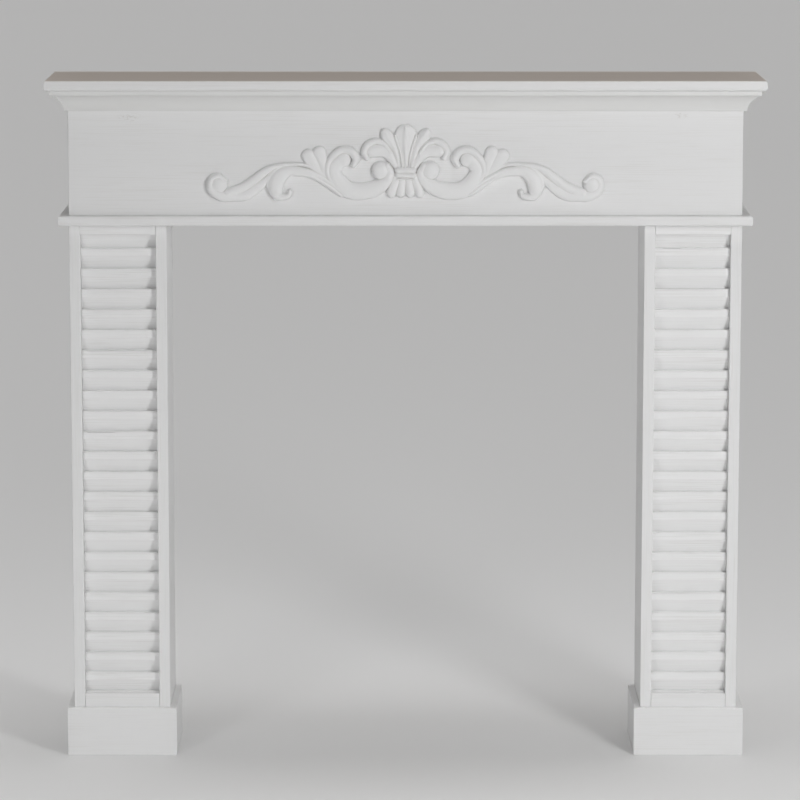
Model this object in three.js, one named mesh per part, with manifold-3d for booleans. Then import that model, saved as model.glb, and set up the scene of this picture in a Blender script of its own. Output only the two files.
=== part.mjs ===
// White painted wooden fireplace mantelpiece: a moulded shelf on a frieze box with an applied
// scroll ornament, carried by two legs with louvred fronts that stand in low plinths.
// Millimetres, +Z up. The front faces -Y, the back stands against a wall, and the origin is on
// the floor at the middle of the overall width and depth.
import * as THREE from "three";
import { mergeVertices } from "three/addons/utils/BufferGeometryUtils.js";
import Module from "manifold-3d";

const wasm = await Module();
wasm.setup();

// Overall sizes
const FRAME_WIDTH = 1034; // across the frieze and across the legs' outer faces
const FRAME_DEPTH = 149; // from the frieze's face to the wall
const OPENING_HEIGHT = 833; // from the floor to the underside of the ledge
const JOINT_GAP = 0.3; // glue line between two pieces that touch

// Shelf
const SHELF_THICKNESS = 16;
const SHELF_OVERHANG = 33; // past the frieze, at the front and at both ends
const SHELF_TOP_RADIUS = 3;
const SHELF_LOWER_RADIUS = 6;

// Crown moulding under the shelf
const CROWN_UPPER_FILLET = 7; // height of the band that meets the shelf
const CROWN_LOWER_FILLET = 3; // height of the band that meets the frieze
const CROWN_LOWER_PROJECTION = 5; // of that lower band, out from the frieze
const COVE_HEIGHT = 22;
const COVE_PROJECTION = 18.7;
const COVE_QUIRK = 1.5; // step from the upper band back to the cove
const COVE_SWEEP = THREE.MathUtils.degToRad(52); // of the cove's arc

// Frieze box
const FRIEZE_HEIGHT = 193;
const FRIEZE_THICKNESS = 15;
const FRIEZE_ARRIS = 1.5; // rounding of the box's two front edges

// Ledge under the frieze
const LEDGE_THICKNESS = 15;
const LEDGE_OVERHANG = 15;
const LEDGE_RADIUS = 3.5;

// Legs
const LEG_WIDTH = 150;
const STILE_THICKNESS = 17;
const TOP_RAIL_HEIGHT = 15;
const BOTTOM_RAIL_HEIGHT = 24;
const RAIL_DEPTH = 34;
const BOTTOM_RAIL_RISE = 72; // from the floor to the underside of the bottom rail
const LEG_ARRIS = 1.2; // rounding of the frame's front edges

// Louvre slats of a leg
const SLAT_COUNT = 23;
const SLAT_RECESS = 9; // from the frame's face back to the slats' front bands
const SLAT_SLOPE_DEPTH = 11.5; // how far a slat's under-face runs back
const SLAT_BAND_SHARE = 0.36; // of a slat's height, taken by its upright front band
const SLAT_BACKING = 13; // wood left behind the deepest line of the slope

// Plinths
const PLINTH_HEIGHT = 75;
const PLINTH_THICKNESS = 9.7;
const PLINTH_ARRIS = 1.5;

// Ornament
const ORNAMENT_WIDTH = 608;
const ORNAMENT_RELIEF = 11; // height of its fullest forms over the frieze

// Number of straight pieces in each rounded edge
const ARC_STEPS = 2;

// Derived places
const BACK_Y = (FRAME_DEPTH + SHELF_OVERHANG) / 2;
const FRONT_Y = BACK_Y - FRAME_DEPTH;
const FRAME_MID_Y = (BACK_Y + FRONT_Y) / 2;
const FRIEZE_BOTTOM = OPENING_HEIGHT + LEDGE_THICKNESS;
const SHELF_BOTTOM = FRIEZE_BOTTOM + FRIEZE_HEIGHT;
const CROWN_HEIGHT = CROWN_UPPER_FILLET + COVE_HEIGHT + CROWN_LOWER_FILLET;
const LEG_CENTRE_X = (FRAME_WIDTH - LEG_WIDTH) / 2;
const LEG_TOP = OPENING_HEIGHT - JOINT_GAP;
const MITRE_GAP = JOINT_GAP / Math.SQRT2;

function painted(color) {
  return new THREE.MeshStandardMaterial({ color, roughness: 0.55, metalness: 0 });
}

const shelfPaint = painted(0xf1f0ee);
const mouldingPaint = painted(0xf3f2f0);
const boardPaint = painted(0xf2f1ef);
const slatPaint = painted(0xf0efec);
const ornamentPaint = painted(0xf4f3f1);

function piece(name, geometry, material, x, y, z) {
  const mesh = new THREE.Mesh(geometry, material);
  mesh.name = name;
  mesh.position.set(x, y, z);
  return mesh;
}

// Manifold solids in and out of three.js geometry

function toSolid(geometry) {
  const bare = geometry.clone();
  bare.deleteAttribute("normal");
  bare.deleteAttribute("uv");
  const merged = mergeVertices(bare, 1e-4);
  return new wasm.Manifold(
    new wasm.Mesh({
      numProp: 3,
      vertProperties: new Float32Array(merged.attributes.position.array),
      triVerts: new Uint32Array(merged.index.array),
    }),
  );
}

function toGeometry(solid) {
  const mesh = solid.getMesh();
  const geometry = new THREE.BufferGeometry();
  geometry.setAttribute("position", new THREE.BufferAttribute(mesh.vertProperties, 3));
  geometry.setIndex(new THREE.BufferAttribute(mesh.triVerts, 1));
  return geometry;
}

// Boards and mouldings: a section is drawn once and run along an axis, centred on the origin

const AXIS_X = new THREE.Vector3(1, 0, 0);
const AXIS_Y = new THREE.Vector3(0, 1, 0);
const AXIS_Z = new THREE.Vector3(0, 0, 1);

function run(section, length) {
  const geometry = new THREE.ExtrudeGeometry(section, {
    depth: length,
    bevelEnabled: false,
    curveSegments: ARC_STEPS,
  });
  return geometry.translate(0, 0, -length / 2);
}

// Section x becomes +Y, section y becomes +Z, and the length lies along X.
function runAlongX(section, length) {
  const turn = new THREE.Matrix4().makeBasis(AXIS_Y, AXIS_Z, AXIS_X);
  return run(section, length).applyMatrix4(turn);
}

// Section x stays X, section y becomes +Z, and the length lies along Y.
function runAlongY(section, length) {
  const turn = new THREE.Matrix4().makeBasis(AXIS_X, AXIS_Z, AXIS_Y.clone().negate());
  return run(section, length).applyMatrix4(turn);
}

// A rectangle centred on the origin, with one radius for each corner.
function roundedSection(width, height, { lowLeft = 0, lowRight = 0, topRight = 0, topLeft = 0 }) {
  const right = width / 2;
  const top = height / 2;
  const corners = [
    { x: -right, y: -top, radius: lowLeft, turn: Math.PI },
    { x: right, y: -top, radius: lowRight, turn: 1.5 * Math.PI },
    { x: right, y: top, radius: topRight, turn: 0 },
    { x: -right, y: top, radius: topLeft, turn: 0.5 * Math.PI },
  ];
  const shape = new THREE.Shape();
  for (const [index, { x, y, radius, turn }] of corners.entries()) {
    if (radius > 0) {
      const centreX = x - Math.sign(x) * radius;
      const centreY = y - Math.sign(y) * radius;
      shape.absarc(centreX, centreY, radius, turn, turn + Math.PI / 2, false);
    } else if (index === 0) {
      shape.moveTo(x, y);
    } else {
      shape.lineTo(x, y);
    }
  }
  shape.closePath();
  return shape;
}

// A level board whose front and both ends are rounded, with a square back.
function nosedBoard(width, depth, thickness, topRadius, lowerRadius) {
  const endSection = roundedSection(width, thickness, {
    lowLeft: lowerRadius,
    lowRight: lowerRadius,
    topRight: topRadius,
    topLeft: topRadius,
  });
  const frontSection = roundedSection(depth, thickness, { lowLeft: lowerRadius, topLeft: topRadius });
  const endRun = toSolid(runAlongY(endSection, depth));
  const frontRun = toSolid(runAlongX(frontSection, width));
  return toGeometry(endRun.intersect(frontRun));
}

// A length of moulding whose section is drawn with x out from the wall line and y up. The
// outward side faces -Y. A mitred end runs on by as much as the section stands out, so that
// two lengths meet on the line of the corner. Ends are given as 1 for mitred and 0 for square.
function mouldingRun(section, length, leftMitre, rightMitre) {
  const turn = new THREE.Matrix4().makeBasis(AXIS_Y.clone().negate(), AXIS_Z, AXIS_X.clone().negate());
  const geometry = run(section, length).applyMatrix4(turn);
  const position = geometry.attributes.position;
  for (let i = 0; i < position.count; i += 1) {
    const outward = -position.getY(i);
    const x = position.getX(i);
    const mitre = x < 0 ? leftMitre : rightMitre;
    position.setX(i, x + Math.sign(x) * mitre * (outward - MITRE_GAP));
  }
  return geometry;
}

// Three lengths of one moulding round the front and the two sides of a box: the box reaches
// from -halfWidth to halfWidth and from frontY to backY.
function mouldingRound(section, halfWidth, frontY, backY) {
  const depth = backY - frontY;
  const midY = (frontY + backY) / 2;
  const front = mouldingRun(section, 2 * halfWidth, 1, 1);
  const left = mouldingRun(section, depth, 0, 1).rotateZ(-Math.PI / 2);
  const right = mouldingRun(section, depth, 1, 0).rotateZ(Math.PI / 2);
  return {
    front: front.translate(0, frontY, 0),
    left: left.translate(-halfWidth, midY, 0),
    right: right.translate(halfWidth, midY, 0),
  };
}

// Shelf, crown moulding, frieze and ledge

function makeShelf() {
  const width = FRAME_WIDTH + 2 * SHELF_OVERHANG;
  const depth = FRAME_DEPTH + SHELF_OVERHANG;
  const board = nosedBoard(width, depth, SHELF_THICKNESS, SHELF_TOP_RADIUS, SHELF_LOWER_RADIUS);
  return piece("mantel_shelf", board, shelfPaint, 0, 0, SHELF_BOTTOM + SHELF_THICKNESS / 2);
}

function crownSection() {
  const coveOut = CROWN_LOWER_PROJECTION + COVE_PROJECTION;
  const coveTop = -CROWN_UPPER_FILLET;
  const coveFoot = coveTop - COVE_HEIGHT;
  // The cove is an arc from the quirk to the lower band, hollow towards the front.
  const radius = Math.hypot(COVE_PROJECTION, COVE_HEIGHT) / (2 * Math.sin(COVE_SWEEP / 2));
  const start = Math.atan2(COVE_PROJECTION, -COVE_HEIGHT) - COVE_SWEEP / 2;
  const centreX = coveOut - radius * Math.cos(start);
  const centreY = coveTop - radius * Math.sin(start);
  const shape = new THREE.Shape();
  shape.moveTo(JOINT_GAP, -JOINT_GAP);
  shape.lineTo(coveOut + COVE_QUIRK, -JOINT_GAP);
  shape.lineTo(coveOut + COVE_QUIRK, coveTop);
  shape.absarc(centreX, centreY, radius, start, start + COVE_SWEEP, false);
  shape.lineTo(CROWN_LOWER_PROJECTION, coveFoot - CROWN_LOWER_FILLET);
  shape.lineTo(JOINT_GAP, coveFoot - CROWN_LOWER_FILLET);
  shape.closePath();
  return shape;
}

function makeCrown() {
  const lengths = mouldingRound(crownSection(), FRAME_WIDTH / 2, FRONT_Y, BACK_Y);
  return [
    piece("crown_front", lengths.front, mouldingPaint, 0, 0, SHELF_BOTTOM),
    piece("crown_left_return", lengths.left, mouldingPaint, 0, 0, SHELF_BOTTOM),
    piece("crown_right_return", lengths.right, mouldingPaint, 0, 0, SHELF_BOTTOM),
  ];
}

function makeFrieze() {
  const height = FRIEZE_HEIGHT - 2 * JOINT_GAP;
  const midZ = FRIEZE_BOTTOM + FRIEZE_HEIGHT / 2;
  const arris = { lowLeft: FRIEZE_ARRIS, lowRight: FRIEZE_ARRIS };
  const front = run(roundedSection(FRAME_WIDTH, FRIEZE_THICKNESS, arris), height);
  const returnDepth = FRAME_DEPTH - FRIEZE_THICKNESS - JOINT_GAP;
  const returnX = (FRAME_WIDTH - FRIEZE_THICKNESS) / 2;
  const returnY = BACK_Y - returnDepth / 2;
  const side = new THREE.BoxGeometry(FRIEZE_THICKNESS, returnDepth, height);
  return [
    piece("frieze_front", front, boardPaint, 0, FRONT_Y + FRIEZE_THICKNESS / 2, midZ),
    piece("frieze_left_return", side, boardPaint, -returnX, returnY, midZ),
    piece("frieze_right_return", side.clone(), boardPaint, returnX, returnY, midZ),
  ];
}

function makeLedge() {
  const width = FRAME_WIDTH + 2 * LEDGE_OVERHANG;
  const depth = FRAME_DEPTH + LEDGE_OVERHANG;
  const board = nosedBoard(width, depth, LEDGE_THICKNESS, LEDGE_RADIUS, LEDGE_RADIUS);
  const midZ = OPENING_HEIGHT + LEDGE_THICKNESS / 2;
  return piece("ledge_board", board, boardPaint, 0, BACK_Y - depth / 2, midZ);
}

// Legs

// The slats of a leg, one above another, seen from the side: x is forward of the slats' back
// and y is up. Each slat has an upright band in front and an under-face that runs down and
// back to the level top of the slat below. The top rail hides the highest slat's band.
function louvreSection(height) {
  const slatHeight = height / (SLAT_COUNT - SLAT_BAND_SHARE);
  const bandHeight = SLAT_BAND_SHARE * slatHeight;
  const front = SLAT_BACKING + SLAT_SLOPE_DEPTH;
  const shape = new THREE.Shape();
  shape.moveTo(0, height / 2);
  let bandFoot = height / 2;
  for (let slat = 0; slat < SLAT_COUNT; slat += 1) {
    const nextTop = bandFoot - (slatHeight - bandHeight);
    shape.lineTo(front, bandFoot);
    shape.lineTo(SLAT_BACKING, nextTop);
    if (slat < SLAT_COUNT - 1) {
      shape.lineTo(front, nextTop);
    }
    bandFoot = nextTop - bandHeight;
  }
  shape.lineTo(0, -height / 2);
  shape.closePath();
  return shape;
}

function makeLeg(side, sideName) {
  const group = new THREE.Group();
  group.position.set(side * LEG_CENTRE_X, 0, 0);

  const stileX = (side * (LEG_WIDTH - STILE_THICKNESS)) / 2;
  const arris = { lowLeft: LEG_ARRIS, lowRight: LEG_ARRIS };
  const stile = run(roundedSection(STILE_THICKNESS, FRAME_DEPTH, arris), LEG_TOP);
  group.add(
    piece(`${sideName}_leg_outer_side`, stile, boardPaint, stileX, FRAME_MID_Y, LEG_TOP / 2),
    piece(`${sideName}_leg_inner_side`, stile.clone(), boardPaint, -stileX, FRAME_MID_Y, LEG_TOP / 2),
  );

  const openWidth = LEG_WIDTH - 2 * (STILE_THICKNESS + JOINT_GAP);
  const railArris = { lowLeft: LEG_ARRIS, topLeft: LEG_ARRIS };
  const topRail = runAlongX(roundedSection(RAIL_DEPTH, TOP_RAIL_HEIGHT, railArris), openWidth);
  const bottomRail = runAlongX(roundedSection(RAIL_DEPTH, BOTTOM_RAIL_HEIGHT, railArris), openWidth);
  const railY = FRONT_Y + RAIL_DEPTH / 2;
  const topRailFoot = LEG_TOP - TOP_RAIL_HEIGHT;
  const bottomRailTop = BOTTOM_RAIL_RISE + BOTTOM_RAIL_HEIGHT;
  const topRailZ = topRailFoot + TOP_RAIL_HEIGHT / 2;
  const bottomRailZ = bottomRailTop - BOTTOM_RAIL_HEIGHT / 2;
  group.add(
    piece(`${sideName}_leg_top_rail`, topRail, boardPaint, 0, railY, topRailZ),
    piece(`${sideName}_leg_bottom_rail`, bottomRail, boardPaint, 0, railY, bottomRailZ),
  );

  const louvreHeight = topRailFoot - bottomRailTop - 2 * JOINT_GAP;
  const louvreBackY = FRONT_Y + SLAT_RECESS + SLAT_SLOPE_DEPTH + SLAT_BACKING;
  const louvre = mouldingRun(louvreSection(louvreHeight), openWidth, 0, 0);
  const louvreZ = (topRailFoot + bottomRailTop) / 2;
  group.add(piece(`${sideName}_louvre`, louvre, slatPaint, 0, louvreBackY, louvreZ));
  return group;
}

// Plinths

function plinthSection() {
  const shape = new THREE.Shape();
  const outer = JOINT_GAP + PLINTH_THICKNESS;
  const arrisX = outer - PLINTH_ARRIS;
  const arrisY = PLINTH_HEIGHT - PLINTH_ARRIS;
  shape.moveTo(JOINT_GAP, 0);
  shape.lineTo(outer, 0);
  shape.absarc(arrisX, arrisY, PLINTH_ARRIS, 0, Math.PI / 2, false);
  shape.lineTo(JOINT_GAP, PLINTH_HEIGHT);
  shape.closePath();
  return shape;
}

function makePlinth(side, sideName) {
  const group = new THREE.Group();
  group.position.set(side * LEG_CENTRE_X, 0, 0);
  const boards = mouldingRound(plinthSection(), LEG_WIDTH / 2, FRONT_Y, BACK_Y);
  const outer = side < 0 ? boards.left : boards.right;
  const inner = side < 0 ? boards.right : boards.left;
  group.add(
    piece(`${sideName}_plinth_front`, boards.front, boardPaint, 0, 0, 0),
    piece(`${sideName}_plinth_outer`, outer, boardPaint, 0, 0, 0),
    piece(`${sideName}_plinth_inner`, inner, boardPaint, 0, 0, 0),
  );
  return group;
}

// Ornament. Its forms are drawn at the width given here, with u out from the middle and v up,
// and scaled to the real width. A stroke is a rounded band that follows a smooth line: each of
// its points gives [u, v, width], and relief gives its height at both ends as a share of
// ORNAMENT_RELIEF.
const DRAWN_WIDTH = 608;
const STROKE_STEP = 11; // drawn distance between two sections of a stroke
const SIDE_WALL = 0.3; // share of the relief that rises straight from the frieze

// The right half. The outer scroll is a stem of two strands that ends in a volute. The second
// curl hangs under it, with a thin strand over its back. The big scroll has a rim that turns
// over in its own volute, and its body ends beside the collar. Two leaf tips stand over the
// join, and the palmette's outer leaves rise from the collar.
const HALF_STROKES = {
  stemUpper: {
    relief: [0.85, 0.6],
    points: [
      [272, -46, 15],
      [250, -38, 15],
      [231, -25, 14],
      [214, -12, 12],
      [199, -5, 8],
      [182, -2, 6],
    ],
  },
  stemLower: {
    relief: [0.8, 0.5],
    points: [
      [270, -51, 15],
      [247, -49, 17],
      [228, -38, 15],
      [213, -25, 10],
      [207, -17, 6],
    ],
  },
  stemVolute: {
    relief: [0.8, 0.85],
    points: [
      [262, -49, 19],
      [281, -50, 17],
      [297, -40, 14],
      [297, -25, 11],
      [286, -20, 9],
      [276, -28, 8],
    ],
  },
  curlStrand: {
    relief: [0.6, 0.45],
    points: [
      [206, -46, 5],
      [210.5, -33, 7],
      [205, -17, 8],
      [191, -5.5, 7],
      [170, -1.5, 6],
      [149, -4, 6],
      [131, -14, 6],
    ],
  },
  curlBody: {
    relief: [0.95, 0.6],
    points: [
      [199, -43, 20],
      [199, -33, 24],
      [194, -22, 23],
      [183, -13, 18],
      [170, -11.5, 15],
      [149, -15, 13],
      [128, -25, 13],
      [101, -46, 10],
    ],
  },
  curlHook: {
    relief: [0.9, 0.75],
    points: [
      [203, -40, 15],
      [197, -50, 13],
      [187, -52, 10],
      [179, -49, 8],
      [177, -43, 7],
    ],
  },
  scrollRim: {
    relief: [0.85, 0.6],
    points: [
      [80, -3, 8],
      [76, 7, 12],
      [83, 18, 13],
      [97, 20.5, 12],
      [109, 13, 11],
      [118, 0, 10],
      [119, -16, 9],
      [110, -34, 8],
    ],
  },
  scrollBody: {
    relief: [0.7, 0.9],
    points: [
      [98, 5, 20],
      [107, -4, 20],
      [109, -14, 21],
      [103, -27, 24],
      [87, -41, 26],
      [65, -43, 26],
      [46, -38, 24],
      [30, -28, 17.5],
      [23.5, -15, 13],
      [28, -4, 11],
    ],
  },
  outerTip: {
    relief: [0.5, 0.8],
    points: [
      [124, -24, 8],
      [136, -8, 13],
      [145, 4, 17],
      [149.5, 13, 18],
    ],
  },
  innerTip: {
    relief: [0.5, 0.9],
    points: [
      [123, -22, 8],
      [126, 0, 13],
      [131, 18, 18],
    ],
  },
  sideLeaf: {
    relief: [0.6, 0.7],
    points: [
      [10, -10, 9],
      [12, 6, 11],
      [17, 24, 13],
      [24, 35, 18],
      [29, 43, 18],
      [33, 49, 9],
    ],
  },
  sideLeafRidge: {
    relief: [0.75, 0.95],
    points: [
      [10, -8, 4],
      [12.5, 8, 5],
      [17.5, 25, 6],
      [25, 38, 8],
      [31, 47, 8],
    ],
  },
  curledLeaf: {
    relief: [0.6, 0.8],
    points: [
      [12, -9, 8],
      [22, 8, 14],
      [33, 19, 20],
      [51, 19, 19],
    ],
  },
  curledLeafRim: {
    relief: [0.75, 0.75],
    points: [
      [22, 16, 6],
      [32, 29, 8],
      [46, 34, 10],
      [58, 28, 11],
      [63, 17, 10],
      [59, 8, 8],
    ],
  },
};

// Balls in the eyes of the scrolls, with their relief as a share of ORNAMENT_RELIEF.
const HALF_BALLS = [
  { u: 286, v: -33, radius: 13, relief: 1 },
  { u: 38, v: -10.7, radius: 13.9, relief: 1.05 },
  { u: 95.5, v: 5.5, radius: 11.5, relief: 0.75 },
];

// On the middle line: the pointed leaf with its keel, and the collar that binds the leaves.
const MIDDLE_STROKES = {
  pointedLeaf: {
    relief: [0.6, 0.8],
    points: [
      [0, -10, 11],
      [0, 5.6, 14],
      [0, 24, 21],
      [0, 34, 29],
      [0, 41, 35],
      [0, 47, 25],
      [0, 52, 13],
    ],
  },
  pointedLeafKeel: {
    relief: [0.75, 1.05],
    points: [
      [0, -8, 3],
      [0, 5.6, 5],
      [0, 22, 11],
      [0, 36, 17],
      [0, 48, 14],
    ],
  },
  collar: {
    relief: [0.95, 0.95],
    points: [
      [-11, -15.9, 16.3],
      [0, -15.9, 16.3],
      [11, -15.9, 16.3],
    ],
  },
};

// The fan of lobes that hangs from the collar.
const FAN = { lobes: 4, top: -21, foot: -46, topStep: 8.5, footStep: 14.7, topWidth: 10, footWidth: 14 };
const FAN_RELIEF = [0.65, 0.75];

function fanStrokes() {
  return Array.from({ length: FAN.lobes }, (_, lobe) => {
    const place = lobe - (FAN.lobes - 1) / 2;
    const points = [
      [place * FAN.topStep, FAN.top, FAN.topWidth],
      [place * FAN.footStep, FAN.foot, FAN.footWidth],
    ];
    return { relief: FAN_RELIEF, points };
  });
}

const drawnScale = ORNAMENT_WIDTH / DRAWN_WIDTH;

// The section of a stroke, as shares of half its width and of its relief: two upright sides
// and an arch over them.
function strokeSection() {
  const archSteps = 4;
  const arch = Array.from({ length: archSteps + 1 }, (_, i) => {
    const angle = Math.PI * (1 - i / archSteps);
    return [Math.cos(angle), SIDE_WALL + (1 - SIDE_WALL) * Math.sin(angle)];
  });
  return [[-1, 0], ...arch, [1, 0]];
}

// The skin over a row of rings that all have the same number of points, closed at both ends.
function skin(rings) {
  const size = rings[0].length;
  const faces = [];
  for (let ring = 0; ring + 1 < rings.length; ring += 1) {
    for (let i = 0; i < size; i += 1) {
      const a = ring * size + i;
      const b = ring * size + ((i + 1) % size);
      faces.push(a, b + size, b, a, a + size, b + size);
    }
  }
  const last = (rings.length - 1) * size;
  for (let i = 1; i + 1 < size; i += 1) {
    faces.push(0, i, i + 1, last, last + i + 1, last + i);
  }
  const positions = rings.flat().flatMap((point) => point.toArray());
  const geometry = new THREE.BufferGeometry();
  geometry.setAttribute("position", new THREE.Float32BufferAttribute(positions, 3));
  geometry.setIndex(faces);
  return geometry;
}

// One stroke as a closed mesh, with u along X, v along Z and the relief towards -Y. Past each
// end of its line the section shrinks over half a width, which rounds the end off.
function strokeMesh({ points, relief }) {
  const smooth = (list) => new THREE.CatmullRomCurve3(list, false, "centripetal");
  const path = smooth(points.map(([u, v]) => new THREE.Vector3(u, 0, v)));
  const widths = smooth(points.map(([u, v, width]) => new THREE.Vector3(u, v, width)));
  const section = strokeSection();
  const rings = [];
  const addRing = (share, turn) => {
    const width = widths.getPoint(share).z;
    const taper = Math.cos(turn);
    const height = ORNAMENT_RELIEF * THREE.MathUtils.lerp(...relief, share) * (1 + taper) * 0.5;
    const along = path.getTangent(share);
    const across = new THREE.Vector3(-along.z, 0, along.x);
    const centre = path.getPoint(share).addScaledVector(along, (Math.sin(turn) * width) / 2);
    const ring = section.map(([side, out]) => {
      const point = centre.clone().addScaledVector(across, (side * taper * width) / 2);
      return point.multiplyScalar(drawnScale).setY(-out * height);
    });
    rings.push(ring);
  };
  const endTurns = [40, 78].map(THREE.MathUtils.degToRad);
  for (const turn of endTurns.toReversed()) {
    addRing(0, -turn);
  }
  const steps = Math.max(2, Math.round(path.getLength() / STROKE_STEP));
  for (let i = 0; i <= steps; i += 1) {
    addRing(i / steps, 0);
  }
  for (const turn of endTurns) {
    addRing(1, turn);
  }
  return skin(rings);
}

// A dome on a short upright wall.
function ballMesh({ u, v, radius, relief }) {
  const height = relief * ORNAMENT_RELIEF;
  const arcSteps = 3;
  const outline = [new THREE.Vector2(0, 0), new THREE.Vector2(radius * drawnScale, 0)];
  for (let i = 0; i < arcSteps; i += 1) {
    const angle = (Math.PI / 2) * (i / arcSteps);
    const rise = height * (SIDE_WALL + (1 - SIDE_WALL) * Math.sin(angle));
    outline.push(new THREE.Vector2(radius * drawnScale * Math.cos(angle), rise));
  }
  outline.push(new THREE.Vector2(0, height));
  const dome = new THREE.LatheGeometry(outline, 12).rotateX(Math.PI);
  return dome.translate(u * drawnScale, 0, v * drawnScale);
}

function mirrored(geometry) {
  const copy = geometry.clone().scale(-1, 1, 1);
  const index = copy.index.array;
  for (let i = 0; i < index.length; i += 3) {
    [index[i], index[i + 1]] = [index[i + 1], index[i]];
  }
  return copy;
}

function makeOrnament() {
  const half = [...Object.values(HALF_STROKES).map(strokeMesh), ...HALF_BALLS.map(ballMesh)];
  const middle = [...Object.values(MIDDLE_STROKES), ...fanStrokes()].map(strokeMesh);
  const forms = [...middle, ...half, ...half.map(mirrored)].map(toSolid);
  const relief = forms.reduce((joined, form) => joined.add(form));
  const fieldBottom = FRIEZE_BOTTOM;
  const fieldTop = SHELF_BOTTOM - CROWN_HEIGHT;
  const midZ = (fieldBottom + fieldTop) / 2;
  return piece("frieze_ornament", toGeometry(relief), ornamentPaint, 0, FRONT_Y - JOINT_GAP, midZ);
}

const fireplace = new THREE.Group();
fireplace.add(makeShelf(), ...makeCrown(), ...makeFrieze(), makeOrnament(), makeLedge());
for (const [side, sideName] of [[-1, "left"], [1, "right"]]) {
  fireplace.add(makeLeg(side, sideName), makePlinth(side, sideName));
}

export default fireplace;
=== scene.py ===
"""The painted surface of a white wooden fireplace mantelpiece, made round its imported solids.

A moulded shelf and a frieze with an applied scroll ornament stand on a ledge and two legs. Each
leg is a frame filled with sloping slats and stands in a low plinth. Lengths are in metres, the
front faces -Y and the floor is at z = 0.
"""

import math
import random

import bmesh
import bpy
import numpy as np
from bpy.props import FloatProperty, FloatVectorProperty, IntProperty, PointerProperty
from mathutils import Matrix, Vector


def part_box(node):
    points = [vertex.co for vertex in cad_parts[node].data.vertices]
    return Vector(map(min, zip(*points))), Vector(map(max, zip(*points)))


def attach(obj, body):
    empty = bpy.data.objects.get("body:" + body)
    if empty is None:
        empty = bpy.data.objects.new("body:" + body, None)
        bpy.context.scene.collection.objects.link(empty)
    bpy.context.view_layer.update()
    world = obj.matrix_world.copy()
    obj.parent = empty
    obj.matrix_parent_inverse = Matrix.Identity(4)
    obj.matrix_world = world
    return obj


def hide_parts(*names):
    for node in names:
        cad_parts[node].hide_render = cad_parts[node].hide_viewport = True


bl_info = {
    "name": "Fireplace Mantelpiece",
    "version": (1, 0, 0),
    "blender": (4, 5, 0),
    "location": "View3D > Sidebar > Mantelpiece",
    "description": "Makes a white painted mantelpiece with louvred legs and a scroll ornament",
    "category": "Add Mesh",
}

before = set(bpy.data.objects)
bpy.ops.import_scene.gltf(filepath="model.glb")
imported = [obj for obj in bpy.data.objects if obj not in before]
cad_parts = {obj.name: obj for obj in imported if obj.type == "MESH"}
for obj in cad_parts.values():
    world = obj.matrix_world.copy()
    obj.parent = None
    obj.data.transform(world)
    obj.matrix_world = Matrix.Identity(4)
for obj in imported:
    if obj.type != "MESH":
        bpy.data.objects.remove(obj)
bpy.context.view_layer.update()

MM = 0.001
TOUCH = 0.02 * MM  # two places closer than this are the same place
WELD = 0.002 * MM  # two points closer than this become one
SHARP_BEND = math.radians(50)  # a bend over this angle is shaded as an edge
UP = Vector((0, 0, 1))
RIGHT = Vector((1, 0, 0))
FORWARD = Vector((0, -1, 0))


def linear(hex_colour):
    """An sRGB hex colour, such as "f2f1ef", as the linear values that shaders and lights use."""
    shares = [int(hex_colour[i : i + 2], 16) / 255 for i in (0, 2, 4)]
    return [s / 12.92 if s <= 0.04045 else ((s + 0.055) / 1.055) ** 2.4 for s in shares]


def length(name, description, millimetres):
    """A size that a user can change."""
    return FloatProperty(
        name=name, description=description, default=millimetres * MM, min=0, precision=5, unit="LENGTH"
    )


def angle(name, description, degrees):
    """An angle that a user can change."""
    return FloatProperty(name=name, description=description, default=math.radians(degrees), subtype="ANGLE")


def number(name, description, default):
    """A share, a power in watts or another plain number that a user can change."""
    return FloatProperty(name=name, description=description, default=default)


def colour(name, description, hex_colour):
    """A colour that a user can change."""
    return FloatVectorProperty(
        name=name, description=description, default=linear(hex_colour), min=0, max=1, subtype="COLOR"
    )


class BoardSizes(bpy.types.PropertyGroup):
    """Rounded edges of the boards and the outline of the crown moulding."""

    shelf_top_radius: length("Shelf upper edge", "Rounding of the shelf's upper front edge", 3)
    shelf_lower_radius: length("Shelf lower edge", "Rounding of the shelf's lower front edge", 6)
    ledge_radius: length("Ledge edges", "Rounding of the ledge's front edges", 3.5)
    frieze_radius: length("Frieze corners", "Rounding of the frieze's two front corners", 1.5)
    frame_radius: length("Leg frame edges", "Rounding of the front edges of stiles and rails", 1.2)
    plinth_radius: length("Plinth top edge", "Rounding of the plinth's upper outer edge", 1.5)
    crown_upper_band: length("Crown upper band", "Height of the crown's band under the shelf", 6.7)
    crown_lower_band: length("Crown lower band", "Height of the crown's band on the frieze", 3)
    crown_lower_reach: length("Crown lower reach", "How far that lower band stands out", 5)
    crown_quirk: length("Crown quirk", "Step from the upper band back to the cove", 1.5)
    crown_sweep: angle("Cove sweep", "Arc of the crown's cove", 52)
    crown_radius: length("Crown edges", "Softening of the crown's edges by the paint", 0.8)


class SlatSizes(bpy.types.PropertyGroup):
    """Shape of the slats and how evenly they were glued and painted."""

    count: IntProperty(name="Slats", description="Number of slats in a leg", default=23, min=2)
    slope_depth: length("Slope depth", "How far a slat's under-face runs back", 11.5)
    band_share: number("Band share", "Share of a slat's height taken by its band", 0.36)
    lip: length("Lip", "Height of the lip in front of the foot of a slat's under-face", 1.1)
    edge_radius: length("Slat edges", "Rounding of a slat's front edges", 0.5)
    seam: length("Seam", "Usual height of the open line between two slats", 0.12)
    crack: length("Crack", "Height of the widest open lines between slats", 0.9)
    recess_error: length("Recess error", "How far a slat may stand back from its neighbours", 0.35)


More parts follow.
